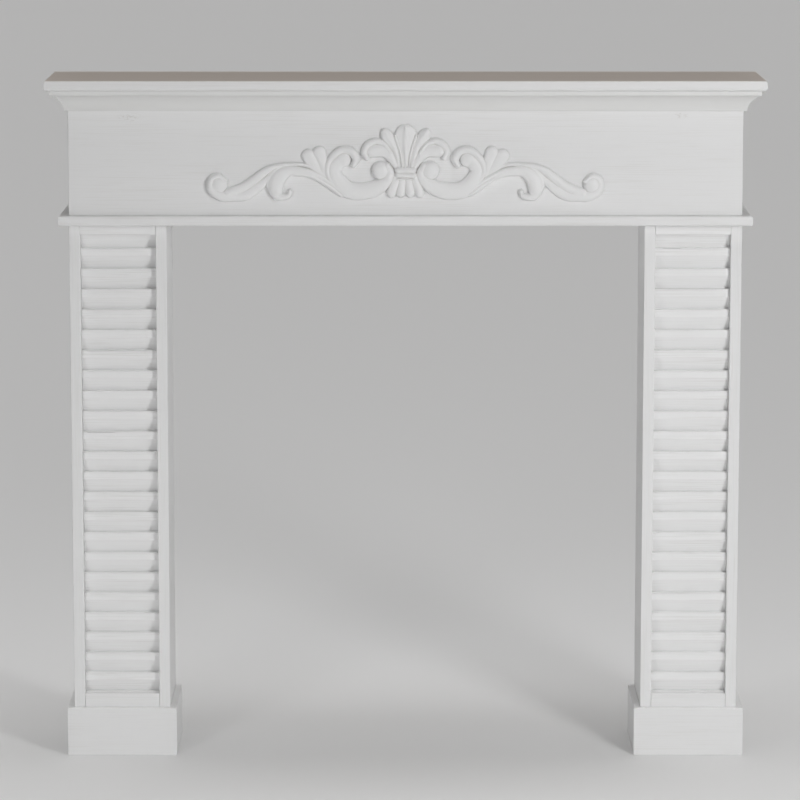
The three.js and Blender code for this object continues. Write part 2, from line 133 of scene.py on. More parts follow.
class OrnamentSizes(bpy.types.PropertyGroup):
    """How finely the ornament is carved."""

    carving_step: length("Carving step", "Distance between two points of the carved surface", 0.8)
    crease: length("Crease", "Width over which the paint fills a crease", 0.5)


class PaintColours(bpy.types.PropertyGroup):
    """White paints of the parts, some made darker or lighter as painted shade and light, and what shows
    faintly through them.
    """

    board: colour("Board paint", "Paint on the shelf, frieze, ledge, legs and plinths", "f0f0f0")
    # Painted shade: the crown's paint is a touch darker than the boards' to stand in for the shade under
    # the shelf.
    moulding: colour("Moulding paint", "Paint on the crown moulding", "e7e7e6")
    # Painted light: the slats' paint is brighter than the boards' to stand in for more light on the legs.
    slat: colour("Slat paint", "Paint on the slats", "f6f6f6")
    ornament: colour("Ornament paint", "Paint on the scroll ornament", "f2f2f2")
    grain: colour("Grain shade", "Thinner paint along the grain", "e6e5e3")
    knot: colour("Knot shade", "Knots that show faintly through the paint", "c9c6c0")
    # Painted shade: a warmer, darker copy of the board paint for the shelf's level top, standing in for the
    # dim, warm light from above.
    shaded: colour("Shaded shelf top", "Paint on the shelf's top, with fine dust on it", "e2dad4")
    # Painted shade, with a little pooled paint: the colour that darkens the ornament's creases.
    crease_shade: colour("Crevice shade", "Dust and thin paint in the creases", "cfccc7")


class StudioSizes(bpy.types.PropertyGroup):
    """Camera and light."""

    camera_distance: length("Camera distance", "From the shelf's front edge to the camera", 6000)
    camera_height: length("Camera height", "From the floor to the camera", 1550)
    camera_lens: number("Lens", "Focal length in mm", 178)
    camera_pitch: angle("Pitch", "How far the camera looks down", 8.5)
    camera_aside: length("Camera aside", "How far left of the middle the camera stands", 20)
    camera_shift_x: number("Side shift", "Sideways shift of the lens", 0.0094)
    camera_shift_y: number("Rise shift", "Upward shift of the lens", -0.07)
    softbox_aside: length("Softbox aside", "From the middle to each softbox", 1250)
    softbox_forward: length("Softbox forward", "From the frieze's face forward to each softbox", 1900)
    right_height: length("Right softbox height", "From the floor to the middle of the right softbox", 1450)
    left_height: length("Left softbox height", "From the floor to the middle of the left softbox", 1300)
    softbox_width: length("Softbox width", "Width of each softbox", 400)
    softbox_rise: length("Softbox rise", "Height of each softbox's face", 1400)
    right_power: number("Right softbox", "Its power in watts", 22)
    left_power: number("Left softbox", "Its power in watts", 7)
    low_lamp_height: length("Low lamp height", "From the floor to the low lamp under each softbox", 150)
    low_lamp_rise: length("Low lamp rise", "Height of each low lamp's face", 250)
    low_lamp_spread: angle("Low lamp spread", "Angle that a low lamp's honeycomb lets through", 70)
    low_lamp_power: number("Low lamps", "Power of each in watts", 0.6)
    overhead_height: length("Overhead lamp height", "From the floor up to the overhead lamp", 5000)
    overhead_back: length("Overhead lamp back", "From the wall side back to that lamp's middle", 10500)
    overhead_width: length("Overhead lamp width", "Width of that lamp", 16000)
    overhead_depth: length("Overhead lamp depth", "Depth of that lamp", 24000)
    overhead_spread: angle("Overhead spread", "Angle that the overhead lamp's honeycomb lets through", 50)
    overhead_power: number("Overhead lamp", "Its power in watts", 610)
    net_rise: length("Net height", "From the shelf's top to the net over it", 300)
    net_margin: length("Net margin", "How far the net reaches past the shelf all round", 60)
    net: colour("Net", "What the net over the shelf lets through", "c4c0bb")
    floor_radius: length("Floor radius", "Radius of the floor", 60000)
    floor: colour("Floor", "Pale floor", "e6e6e6")
    above_rear: colour("Above and behind", "Dim light from above and behind", "5c5a58")
    above_front: colour("Above and in front", "Dimmer light from above and in front", "3c3b3a")
    horizon: colour("Horizon", "Paler light from low down all round", "8a8c8e")


# Shaping

# Facets across a rounded edge, more where the rounding is larger.
MOULDED_FACETS = 3
EASED_FACETS = 4
ROUNDED_FACETS = 5
NOSED_FACETS = 6


def block(low, high):
    """A sawn block between two opposite corners."""
    bm = bmesh.new()
    bmesh.ops.create_cube(bm, size=1)
    bmesh.ops.scale(bm, vec=high - low, verts=bm.verts)
    bmesh.ops.translate(bm, vec=(low + high) / 2, verts=bm.verts)
    return bm


def edges_at(bm, **places):
    """The edges that lie wholly at the given places, such as y=front and z=top."""

    def lies_there(vert):
        return all(abs(getattr(vert.co, axis) - place) < TOUCH for axis, place in places.items())

    found = [edge for edge in bm.edges if all(lies_there(vert) for vert in edge.verts)]
    if not found:
        raise ValueError(f"no edge lies at {places}")
    return found


def round_over(bm, parts, radius, facets, affect="EDGES"):
    """Rounds edges over, as sanding or a router bit does, or eases the corners of a flat outline."""
    bmesh.ops.bevel(
        bm,
        geom=parts,
        offset=radius,
        offset_type="OFFSET",
        segments=facets,
        profile=0.5,
        affect=affect,
        material=-1,
        clamp_overlap=affect == "EDGES",
    )


def round_front_and_ends(bm, low, high, z, radius, facets):
    """Rounds a level board's edges at height z along its front and both ends."""
    rim = edges_at(bm, y=low.y, z=z) + edges_at(bm, x=low.x, z=z) + edges_at(bm, x=high.x, z=z)
    round_over(bm, rim, radius, facets)


def moulded_length(section, rounded, radius, start, end, outward):
    """A straight length from start to end. The section gives its corners as (out, up), out from
    the line between the two and up from the floor, and rounded says which corners are eased."""
    bm = bmesh.new()
    corners = [bm.verts.new(start + outward * out + UP * up) for out, up in section]
    bm.faces.new(corners)
    round_over(bm, [corners[index] for index in rounded], radius, MOULDED_FACETS, "VERTICES")
    grown = bmesh.ops.extrude_face_region(bm, geom=bm.faces[:])
    far_end = [part for part in grown["geom"] if isinstance(part, bmesh.types.BMVert)]
    bmesh.ops.translate(bm, vec=end - start, verts=far_end)
    return bm


def saw_off(bm, place, direction):
    """Saws off what lies beyond a plane at place, and closes the cut."""
    everything = bm.verts[:] + bm.edges[:] + bm.faces[:]
    cut = bmesh.ops.bisect_plane(
        bm, geom=everything, plane_co=place, plane_no=direction, clear_outer=True
    )
    edges = [part for part in cut["geom_cut"] if isinstance(part, bmesh.types.BMEdge)]
    if not edges:
        raise ValueError(f"the saw cut at {tuple(place)} misses the piece")
    bmesh.ops.contextual_create(bm, geom=edges)


def mitred_length(section, rounded, radius, start, end, outward, mitres):
    """A moulded length whose ends are sawn at 45 degrees where mitres says so. A mitred end meets
    its neighbour on the diagonal of the corner."""
    along = (end - start).normalized()
    overrun = along * 2 * max(out for out, _ in section)
    first = start - overrun if mitres[0] else start
    last = end + overrun if mitres[1] else end
    bm = moulded_length(section, rounded, radius, first, last, outward)
    if mitres[0]:
        saw_off(bm, start, -along - outward)
    if mitres[1]:
        saw_off(bm, end, along - outward)
    return bm


def show(name, bm, material, nodes, even_shading=True):
    """Turns a shaped mesh into a named piece that stands for its solids."""
    bmesh.ops.remove_doubles(bm, verts=bm.verts, dist=WELD)
    bmesh.ops.recalc_face_normals(bm, faces=bm.faces)
    mesh = bpy.data.meshes.new(name)
    bm.to_mesh(mesh)
    bm.free()
    mesh.shade_smooth()
    mesh.set_sharp_from_angle(angle=SHARP_BEND)
    mesh.materials.append(material)
    made = bpy.data.objects.new(name, mesh)
    bpy.context.scene.collection.objects.link(made)
    if even_shading:
        shading = made.modifiers.new("Even shading", "WEIGHTED_NORMAL")
        shading.keep_sharp = True
    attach(made, "root")
    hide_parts(*nodes)
    return made


# Paint

PAINT_IOR = 1.47
ROUGHNESS_SPREAD = 0.05  # how much glossier and duller than usual the paint gets in places
GRAIN_STRENGTH = 0.6
BRUSH_STRENGTH = 0.5
BRUSH_RELIEF = 0.04 * MM
KNOT_STRENGTH = 0.55
KNOT_FLATNESS = 2.6  # how many times as wide as high a knot is


def add_node(tree, kind, inputs, **fields):
    """Adds a node, sets its fields, and gives each named input a value or a link."""
    node = tree.nodes.new(kind)
    for field, value in fields.items():
        setattr(node, field, value)
    for socket, value in inputs.items():
        if isinstance(value, bpy.types.NodeSocket):
            tree.links.new(value, node.inputs[socket])
        else:
            node.inputs[socket].default_value = value
    return node


def mix_colours(tree, share, first, second):
    """The colour between two colours."""
    factor, a, b, result = 0, 6, 7, 2  # sockets of the Mix node when it mixes colours
    node = add_node(tree, "ShaderNodeMix", {factor: share, a: first, b: second}, data_type="RGBA")
    return node.outputs[result]


def opaque(values):
    """A linear colour with an alpha of 1."""
    return (*values, 1.0)


def stretched_noise(tree, coordinates, size, detail):
    """Noise whose features measure size, a length in metres along each axis."""
    scaled = add_node(tree, "ShaderNodeMapping", {"Vector": coordinates, "Scale": [1 / s for s in size]})
    inputs = {"Vector": scaled.outputs["Vector"], "Scale": 1.0, "Detail": detail, "Roughness": 0.55}
    return add_node(tree, "ShaderNodeTexNoise", inputs).outputs["Fac"]


def ramp(tree, value, low, high, to_low=0.0, to_high=1.0):
    """Maps low to to_low and high to to_high, and holds the ends."""
    inputs = {"Value": value, "From Min": low, "From Max": high, "To Min": to_low, "To Max": to_high}
    return add_node(tree, "ShaderNodeMapRange", inputs, clamp=True).outputs["Result"]


def multiply(tree, first, second):
    """The product of two values."""
    return add_node(tree, "ShaderNodeMath", {0: first, 1: second}, operation="MULTIPLY").outputs["Value"]


def along_grain(axis, run, across):
    """Sizes of a feature that is long along the grain and narrow across it."""
    return [run if name == axis else across for name in "XYZ"]


def knot_specks(tree, coordinates, centre, radius):
    """How strongly a knot shows: a few specks in a flat oval round its centre."""
    offset = add_node(tree, "ShaderNodeVectorMath", {0: coordinates, 1: centre}, operation="SUBTRACT")
    inputs = {0: offset.outputs["Vector"], 1: (1.0, 1.0, KNOT_FLATNESS)}
    flattened = add_node(tree, "ShaderNodeVectorMath", inputs, operation="MULTIPLY")
    distance = add_node(tree, "ShaderNodeVectorMath", {0: flattened.outputs["Vector"]}, operation="LENGTH")
    inside = ramp(tree, distance.outputs["Value"], radius, radius * 0.3)
    specks = ramp(tree, stretched_noise(tree, coordinates, [4 * MM, 4 * MM, 2 * MM], 3), 0.5, 0.68)
    return multiply(tree, inside, specks)


def fine_relief(tree, height, strength, distance, under=None):
    """Fine relief that is too shallow to model, laid over other relief if there is any."""
    inputs = {"Height": height, "Strength": strength, "Distance": distance}
    if under:
        inputs["Normal"] = under
    return add_node(tree, "ShaderNodeBump", inputs).outputs["Normal"]


def vary_gloss(tree, shader, tone, roughness):
    """Makes the paint a little glossier here and duller there. The tone runs from about 0.3 to 0.7."""
    glossy, dull = roughness - ROUGHNESS_SPREAD, roughness + ROUGHNESS_SPREAD
    tree.links.new(ramp(tree, tone, 0.3, 0.7, glossy, dull), shader.inputs["Roughness"])
    shader.inputs["IOR"].default_value = PAINT_IOR


def new_material(name):
    """A new material, with its tree of nodes and its main shader."""
    material = bpy.data.materials.new(name)
    material.use_nodes = True
    return material, material.node_tree, material.node_tree.nodes["Principled BSDF"]


def paint_material(name, paint, grain_axis, roughness, grain_depth, knots=(), shade_on_top=False):
    """Brushed white paint over wood: even and opaque, with the grain faintly raised along the
    board, brush marks, broad soft differences in tone, and here and there a knot."""
    known = bpy.data.materials.get(name)
    if known:
        return known
    colours = bpy.context.scene.mantel_paint
    material, tree, shader = new_material(name)
    place = add_node(tree, "ShaderNodeTexCoord", {}).outputs["Object"]

    # Tone varies over 140 mm by 60 mm, grain lines are 90 mm long and 1.6 mm apart, drawn about
    # twice as coarse as pine so that they show, and brush marks are 45 mm long and 0.7 mm apart.
    tone = stretched_noise(tree, place, along_grain(grain_axis, 140 * MM, 60 * MM), 2)
    grain = stretched_noise(tree, place, along_grain(grain_axis, 90 * MM, 1.6 * MM), 3)
    brush = stretched_noise(tree, place, along_grain(grain_axis, 45 * MM, 0.7 * MM), 1)

    # The paint is thinnest along the strongest grain lines, and more so in some broad patches.
    lines = ramp(tree, grain, 0.5, 0.75)
    patches = ramp(tree, tone, 0.35, 0.7, 0.2, 0.9)
    thin_paint = multiply(tree, lines, patches)
    shade = mix_colours(tree, thin_paint, opaque(paint), opaque(colours.grain))
    for centre, radius in knots:
        strength = multiply(tree, knot_specks(tree, place, centre, radius), KNOT_STRENGTH)
        shade = mix_colours(tree, strength, shade, opaque(colours.knot))
    if shade_on_top:
        # Painted shade: the top's warmer, darker colour starts where the rounded edge turns up and is whole
        # on the level top.
        normal = add_node(tree, "ShaderNodeNewGeometry", {}).outputs["True Normal"]
        parts = add_node(tree, "ShaderNodeSeparateXYZ", {"Vector": normal})
        facing_up = ramp(tree, parts.outputs["Z"], 0.7, 0.99)
        shade = mix_colours(tree, facing_up, shade, opaque(colours.shaded))
    tree.links.new(shade, shader.inputs["Base Color"])
    vary_gloss(tree, shader, tone, roughness)

    raised_grain = fine_relief(tree, grain, GRAIN_STRENGTH, grain_depth)
    brushed = fine_relief(tree, brush, BRUSH_STRENGTH, BRUSH_RELIEF, raised_grain)
    tree.links.new(brushed, shader.inputs["Normal"])
    return material


def board_paint(grain_axis, knots=(), shade_on_top=False):
    """Satin paint brushed on pine boards."""
    # A board with painted shade on its top gets a material of its own.
    suffix = " with knots" if knots else " with a dusty top" if shade_on_top else ""
    names = {"X": "level board", "Y": "deep board", "Z": "upright board"}
    paint = bpy.context.scene.mantel_paint.board
    name = f"Satin paint on pine {names[grain_axis]}{suffix}"
    return paint_material(name, paint, grain_axis, 0.5, 0.12 * MM, knots, shade_on_top)


def shaded_moulding_paint(grain_axis):
    """Satin paint brushed along a milled moulding, which is smoother than a board, and a touch darker than
    the boards' paint as painted shade under the shelf.
    """
    names = {"X": "front", "Y": "return"}
    paint = bpy.context.scene.mantel_paint.moulding
    name = f"Satin paint on milled {names[grain_axis]} moulding"
    return paint_material(name, paint, grain_axis, 0.46, 0.05 * MM)


def brightened_slat_paint():
    """Flatter paint, sprayed rather than brushed, on the slats, a touch brighter than the boards' as
    painted light.
    """
    paint = bpy.context.scene.mantel_paint.slat
    return paint_material("Matt paint on slats", paint, "X", 0.6, 0.1 * MM)


def ornament_paint():
    """Satin paint over moulded wood paste: smooth, and darker in the creases, as painted shade and a little
    pooled paint.
    """
    colours = bpy.context.scene.mantel_paint
    material, tree, shader = new_material("Satin paint on moulded ornament")
    place = add_node(tree, "ShaderNodeTexCoord", {}).outputs["Object"]

    # Pointiness is about 0.5 on flat ground and lower in a crease, where the colour darkens as painted
    # shade and pooled paint.
    hollow = add_node(tree, "ShaderNodeNewGeometry", {}).outputs["Pointiness"]
    crease = ramp(tree, hollow, 0.49, 0.44, 0.0, 0.5)
    shade = mix_colours(tree, crease, opaque(colours.ornament), opaque(colours.crease_shade))
    tree.links.new(shade, shader.inputs["Base Color"])
    vary_gloss(tree, shader, stretched_noise(tree, place, [30 * MM] * 3, 2), 0.47)

    # Paint pooled over the paste leaves soft bumps about 2.5 mm apart.
    pooling = stretched_noise(tree, place, [2.5 * MM] * 3, 2)
    tree.links.new(fine_relief(tree, pooling, 0.5, 0.08 * MM), shader.inputs["Normal"])
    return material


# Shelf, crown moulding, frieze and ledge


class MANTEL_OT_shelf(bpy.types.Operator):
    """Make the shelf, a board with rounded front and ends"""

    bl_idname = "mantel.shelf"
    bl_label = "Shelf"

    def execute(self, context):
        sizes = context.scene.mantel_boards
        low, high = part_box("mantel_shelf")
        bm = block(low, high)
        round_front_and_ends(bm, low, high, high.z, sizes.shelf_top_radius, ROUNDED_FACETS)
        round_front_and_ends(bm, low, high, low.z, sizes.shelf_lower_radius, NOSED_FACETS)
        # The shelf's level top carries painted shade.
        show("shelf_board", bm, board_paint("X", shade_on_top=True), ["mantel_shelf"])
        return {"FINISHED"}


COVE_FACETS = 14


def crown_section(sizes, inner, outer, foot, top):
    """Outline of the crown moulding: a band under the shelf, a cove, and a band on the frieze."""
    cove_out = outer - sizes.crown_quirk
    cove_top = top - sizes.crown_upper_band
    reach = cove_out - sizes.crown_lower_reach
    height = cove_top - foot - sizes.crown_lower_band
    # The cove is an arc from the quirk to the lower band, hollow towards the front.
    radius = math.hypot(reach, height) / (2 * math.sin(sizes.crown_sweep / 2))
    start = math.atan2(reach, -height) - sizes.crown_sweep / 2
    angles = [start + sizes.crown_sweep * step / COVE_FACETS for step in range(COVE_FACETS + 1)]
    cove = [
        (
            cove_out + radius * (math.cos(angle) - math.cos(start)),
            cove_top + radius * (math.sin(angle) - math.sin(start)),
        )
        for angle in angles
    ]
    band = [(inner, top), (outer, top), (outer, cove_top)]
    return [*band, *cove, (sizes.crown_lower_reach, foot), (inner, foot)]


class MANTEL_OT_crown(bpy.types.Operator):
    """Make the three mitred lengths of the crown moulding"""

    bl_idname = "mantel.crown"
    bl_label = "Crown moulding"

    def execute(self, context):
        sizes = context.scene.mantel_boards
        low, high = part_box("crown_front")
        frieze_low, frieze_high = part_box("frieze_front")
        section = crown_section(sizes, frieze_low.y - high.y, frieze_low.y - low.y, low.z, high.z)
        lower_edge = len(section) - 2
        eased = [2, lower_edge - 1, lower_edge]
        left_front = Vector((frieze_low.x, frieze_low.y, 0))
        right_front = Vector((frieze_high.x, frieze_low.y, 0))
        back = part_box("crown_left_return")[1].y
        left_back = Vector((frieze_low.x, back, 0))
        right_back = Vector((frieze_high.x, back, 0))
        lengths = {
            "crown_front": (left_front, right_front, FORWARD, (True, True), "X"),
            "crown_left_return": (left_back, left_front, -RIGHT, (False, True), "Y"),
            "crown_right_return": (right_front, right_back, RIGHT, (True, False), "Y"),
        }
        for node, (start, end, outward, mitres, axis) in lengths.items():
            bm = mitred_length(section, eased, sizes.crown_radius, start, end, outward, mitres)
            show(f"{node}_moulding", bm, shaded_moulding_paint(axis), [node])
        return {"FINISHED"}


# Two knots show near the upper corners of the frieze: across, up and how wide, in millimetres.
FRIEZE_KNOTS = [(-422, 999, 22), (420, 1002, 14)]


class MANTEL_OT_frieze(bpy.types.Operator):
    """Make the three boards of the frieze box"""

    bl_idname = "mantel.frieze"
    bl_label = "Frieze"

    def execute(self, context):
        sizes = context.scene.mantel_boards
        low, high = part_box("frieze_front")
        bm = block(low, high)
        corners = edges_at(bm, x=low.x, y=low.y) + edges_at(bm, x=high.x, y=low.y)
        round_over(bm, corners, sizes.frieze_radius, EASED_FACETS)
        knots = [(Vector((x * MM, low.y, z * MM)), radius * MM) for x, z, radius in FRIEZE_KNOTS]
        show("frieze_front_board", bm, board_paint("X", knots), ["frieze_front"])
        for side in ("left", "right"):
            node = f"frieze_{side}_return"
            show(f"{node}_board", block(*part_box(node)), board_paint("Y"), [node])
        return {"FINISHED"}


class MANTEL_OT_ledge(bpy.types.Operator):
    """Make the ledge board between the frieze and the legs"""

    bl_idname = "mantel.ledge"
    bl_label = "Ledge"

    def execute(self, context):
        radius = context.scene.mantel_boards.ledge_radius
        low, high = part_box("ledge_board")
        bm = block(low, high)
        for edge in (high.z, low.z):
            round_front_and_ends(bm, low, high, edge, radius, ROUNDED_FACETS)
        show("ledge_rounded_board", bm, board_paint("X"), ["ledge_board"])
        return {"FINISHED"}


# Legs

# Boards of a leg's frame, and the axis that the grain of each runs along.
LEG_BOARDS = {"outer_side": "Z", "inner_side": "Z", "top_rail": "X", "bottom_rail": "X"}


class MANTEL_OT_leg_frames(bpy.types.Operator):
    """Make the stiles and rails that frame each leg"""

    bl_idname = "mantel.leg_frames"
    bl_label = "Leg frames"

    def execute(self, context):
        radius = context.scene.mantel_boards.frame_radius
        for side in ("left", "right"):
            for place, grain in LEG_BOARDS.items():
                node = f"{side}_leg_{place}"
                low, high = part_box(node)
                bm = block(low, high)
                if grain == "Z":
                    arrises = edges_at(bm, x=low.x, y=low.y) + edges_at(bm, x=high.x, y=low.y)
                else:
                    arrises = edges_at(bm, z=low.z, y=low.y) + edges_at(bm, z=high.z, y=low.y)
                round_over(bm, arrises, radius, EASED_FACETS)
                show(f"{node}_board", bm, board_paint(grain), [node])
        return {"FINISHED"}


# Places where the glue line between two slats stands open, counted from the top: the slat above
# it, where along the leg it starts and ends as shares of the width, and how wide as a share.
OPEN_SEAMS = {
    "left": [(0, 0.1, 0.95, 0.4), (5, 0.05, 0.9, 0.6), (9, 0.05, 0.4, 1.0), (17, 0.55, 0.95, 0.5)],
    "right": [(0, 0.1, 0.35, 0.8), (7, 0.3, 0.7, 0.4), (17, 0.1, 0.5, 0.5)],
}
SEAM_CUTS = 24
SEAM_POINTS = SEAM_CUTS + 2
NARROWEST_SEAM = 0.3  # as a share of the usual seam
NARROWEST_CRACK = 0.6  # as a share of that crack's own width
SLIVER = 0.8 * MM
SLAT_SEED = 23


def slat_section(sizes, top, foot, band_foot, front, back):
    """Outline of one slat seen from its end: an upright band, an under-face that slopes back, and
    at its foot a ledge that ends in a thin lip. Points are (out, up), out from y = 0."""
    heel = front + sizes.slope_depth
    ledge = foot + sizes.lip
    slope = [(-front, band_foot), (-heel, ledge), (-front, ledge)]
    return [(-back, top), (-front, top), *slope, (-front, foot), (-back, foot)]


def open_seam(bm, front, foot, rises):
    """Lifts the slat's lowest line off the slat below, by one rise for each point along it."""
    line = [vert for vert in bm.verts if abs(vert.co.z - foot) < TOUCH and vert.co.y < front]
    line.sort(key=lambda vert: vert.co.x)
    for vert, rise in zip(line, rises, strict=True):
        vert.co.z += rise


def seam_rises(sizes, side, slat, draw):
    """How far each point of a seam stands open: a little everywhere, more where it cracked."""
    rises = [sizes.seam * draw.uniform(NARROWEST_SEAM, 1) for _ in range(SEAM_POINTS)]
    for above, start, end, share in OPEN_SEAMS[side]:
        if above != slat:
            continue
        for point in range(SEAM_POINTS):
            if start <= point / (SEAM_POINTS - 1) <= end:
                rises[point] = sizes.crack * share * draw.uniform(NARROWEST_CRACK, 1)
    return rises


class MANTEL_OT_slats(bpy.types.Operator):
    """Make the slats of both legs, one piece each"""

    bl_idname = "mantel.slats"
    bl_label = "Slats"

    def execute(self, context):
        sizes = context.scene.mantel_slats
        draw = random.Random(SLAT_SEED)
        for side in ("left", "right"):
            node = f"{side}_louvre"
            low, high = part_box(node)
            slat_height = (high.z - low.z) / (sizes.count - sizes.band_share)
            band = slat_height * sizes.band_share
            # The top rail hides the highest slat's band, but for a sliver.
            band_foot = high.z - SLIVER
            top = high.z
            for slat in range(sizes.count):
                foot = max(band_foot - (slat_height - band) - sizes.lip, low.z)
                front = low.y + draw.uniform(0, sizes.recess_error)
                section = slat_section(sizes, top, foot, band_foot, front, high.y)
                start = Vector((low.x, 0, 0))
                end = Vector((high.x, 0, 0))
                bm = moulded_length(section, [1, 2, 4], sizes.edge_radius, start, end, FORWARD)
                lengthwise = [
                    edge for edge in bm.edges if abs(edge.verts[0].co.x - edge.verts[1].co.x) > TOUCH
                ]
                bmesh.ops.subdivide_edges(bm, edges=lengthwise, cuts=SEAM_CUTS, use_grid_fill=True)
                open_seam(bm, high.y - TOUCH, foot, seam_rises(sizes, side, slat, draw))
                name = f"{side}_slat_{slat + 1:02d}"
                # The slats' paint is brightened as painted light.
                show(name, bm, brightened_slat_paint(), [node])
                top = foot - TOUCH
                band_foot = foot + sizes.lip - band
        return {"FINISHED"}


# Plinths


class MANTEL_OT_plinths(bpy.types.Operator):
    """Make the mitred boards of both plinths"""

    bl_idname = "mantel.plinths"
    bl_label = "Plinths"

    def execute(self, context):
        radius = context.scene.mantel_boards.plinth_radius
        for side in ("left", "right"):
            low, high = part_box(f"{side}_plinth_front")
            stiles = [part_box(f"{side}_leg_outer_side"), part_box(f"{side}_leg_inner_side")]
            leg_left = min(box[0].x for box in stiles)
            leg_right = max(box[1].x for box in stiles)
            leg_front = stiles[0][0].y
            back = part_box(f"{side}_plinth_outer")[1].y
            inner, outer = leg_front - high.y, leg_front - low.y
            section = [(inner, high.z), (outer, high.z), (outer, low.z), (inner, low.z)]
            left_front = Vector((leg_left, leg_front, 0))
            right_front = Vector((leg_right, leg_front, 0))
            left_back = Vector((leg_left, back, 0))
            right_back = Vector((leg_right, back, 0))
            left_name, right_name = ("outer", "inner") if side == "left" else ("inner", "outer")
            lengths = {
                "front": (left_front, right_front, FORWARD, (True, True), "X"),
                left_name: (left_back, left_front, -RIGHT, (False, True), "Y"),
                right_name: (right_front, right_back, RIGHT, (True, False), "Y"),
            }
            for place, (start, end, outward, mitres, axis) in lengths.items():
                node = f"{side}_plinth_{place}"
                bm = mitred_length(section, [1], radius, start, end, outward, mitres)
                show(f"{node}_board", bm, board_paint(axis), [node])
        return {"FINISHED"}


# Ornament. Its forms are drawn in millimetres, u out from the middle and v up. A stroke is a
# raised band along a smooth line whose points give [u, v, width]. Its relief is given for both
# ends as a share of the ornament's full relief.
RIGHT_STROKES = {
    "stem crest": ((0.85, 0.6), [[272, -46, 15], [250, -38, 15], [231, -25, 14], [214, -12, 12],
                                 [199, -5, 8], [182, -2, 6]]),
    "stem underside": ((0.8, 0.5), [[270, -51, 15], [247, -49, 17], [228, -38, 15], [213, -25, 10],
                                    [207, -17, 6]]),
    "stem volute": ((0.8, 0.85), [[262, -49, 19], [281, -50, 17], [297, -40, 14], [297, -25, 11],
                                  [286, -20, 9], [276, -28, 8]]),
    "strand over the curl": ((0.6, 0.45), [[206, -46, 5], [210.5, -33, 7], [205, -17, 8],
                                           [191, -5.5, 7], [170, -1.5, 6], [149, -4, 6], [131, -14, 6]]),
    "curl body": ((0.95, 0.45), [[199, -43, 20], [199, -33, 24], [194, -22, 23], [183, -13, 18],
                                 [170, -11.5, 15], [149, -15, 13], [128, -25, 13], [101, -46, 10]]),
    "curl upper line": ((0.75, 0.6), [[171, -9, 10], [149, -12, 8], [130, -21, 8], [112, -33, 7],
                                      [101, -42, 6]]),
    "curl lower line": ((0.7, 0.6), [[171, -15, 8], [149, -18, 7], [128, -28, 7], [110, -40, 7],
                                     [99, -49, 6]]),
    "curl hook": ((0.9, 0.75), [[203, -40, 15], [197, -50, 13], [187, -52, 10], [179, -49, 8],
                                [177, -43, 7]]),
    "scroll rim": ((0.85, 0.6), [[80, -3, 8], [76, 7, 12], [83, 18, 13], [97, 20.5, 12], [109, 13, 11],
                                 [118, 0, 10], [119, -16, 9], [110, -34, 8]]),
    "scroll body": ((0.7, 0.9), [[98, 5, 20], [107, -4, 20], [109, -14, 21], [103, -27, 24],
                                 [87, -41, 26], [65, -43, 26], [46, -38, 24], [30, -28, 17.5],
                                 [23.5, -15, 13], [28, -4, 11]]),
    "outer leaf tip": ((0.45, 0.6), [[124, -24, 8], [136, -8, 16], [144, 5, 21], [148.5, 11.5, 21]]),
    "inner leaf tip": ((0.45, 0.65), [[123, -22, 8], [127, 0, 16], [132, 16, 21]]),
    "side leaf": ((0.5, 0.7), [[10, -10, 9], [12, 6, 11], [17, 24, 13], [24, 35, 18], [29, 43, 18],
                               [33, 49, 9]]),
    "side leaf ridge": ((0.6, 0.78), [[10, -8, 5], [12.5, 8, 7], [17.5, 25, 9], [25, 38, 12],
                                      [31, 47, 9]]),
    "curled leaf": ((0.6, 0.75), [[12, -9, 8], [22, 8, 14], [33, 19, 20], [51, 19, 19]]),
    "curled leaf rim": ((0.75, 0.75), [[22, 16, 6], [32, 29, 8], [46, 34, 10], [58, 28, 11],
                                       [63, 17, 10], [59, 8, 8]]),
    "pointed leaf edge": ((0.7, 0.7), [[5, -8, 3], [6.5, 8, 4], [10, 24, 4.5], [14, 36, 5],
                                       [16, 43, 4]]),
}

# Balls in the eyes of the scrolls: u, v, radius and relief.
RIGHT_BALLS = [(286, -33, 13, 1.0), (38, -10.7, 13.9, 1.05), (95.5, 5.5, 11.5, 0.75)]

# On the middle line: the pointed leaf with its keel, and the collar that binds the leaves.
MIDDLE_STROKES = {
    "pointed leaf": ((0.5, 0.7), [[0, -10, 11], [0, 5.6, 14], [0, 24, 21], [0, 34, 29], [0, 41, 35],
                                  [0, 47, 25], [0, 52, 13]]),
    "pointed leaf keel": ((0.7, 0.82), [[0, -8, 3], [0, 5.6, 5], [0, 22, 10], [0, 36, 14], [0, 46, 12],
                                        [0, 55, 4]]),
    "collar upper band": ((1, 1), [[-12, -10.5, 10], [0, -10.5, 10], [12, -10.5, 10]]),
    "collar lower band": ((0.95, 0.95), [[-12, -18, 9], [0, -18, 9], [12, -18, 9]]),
    "collar lip": ((0.85, 0.85), [[-13, -23.5, 3.5], [0, -23.5, 3.5], [13, -23.5, 3.5]]),
}

# The fan of lobes that hangs from the collar.
FAN_LOBES = 4
FAN_TOP = -21
FAN_FOOT = -46
FAN_TOP_STEP = 8.5
FAN_FOOT_STEP = 14.7
FAN_TOP_WIDTH = 14
FAN_FOOT_WIDTH = 14
FAN_RELIEF = (0.65, 0.75)

FULLEST_RELIEF = 1.05  # the highest relief above, which reaches the front of the ornament's box
SIDE_WALL = 0.3  # share of a form's relief that rises straight from the frieze
WALL_STEEPNESS = 4.0  # rise of that wall for each millimetre outwards
LINE_STEP = 2.0  # distance between two points of a stroke's smooth line
WALL_REACH = 4.0  # how far past its edge a stroke is worked out
GRID_MARGIN = 3 * MM  # how far the carved grid reaches past the ornament all round


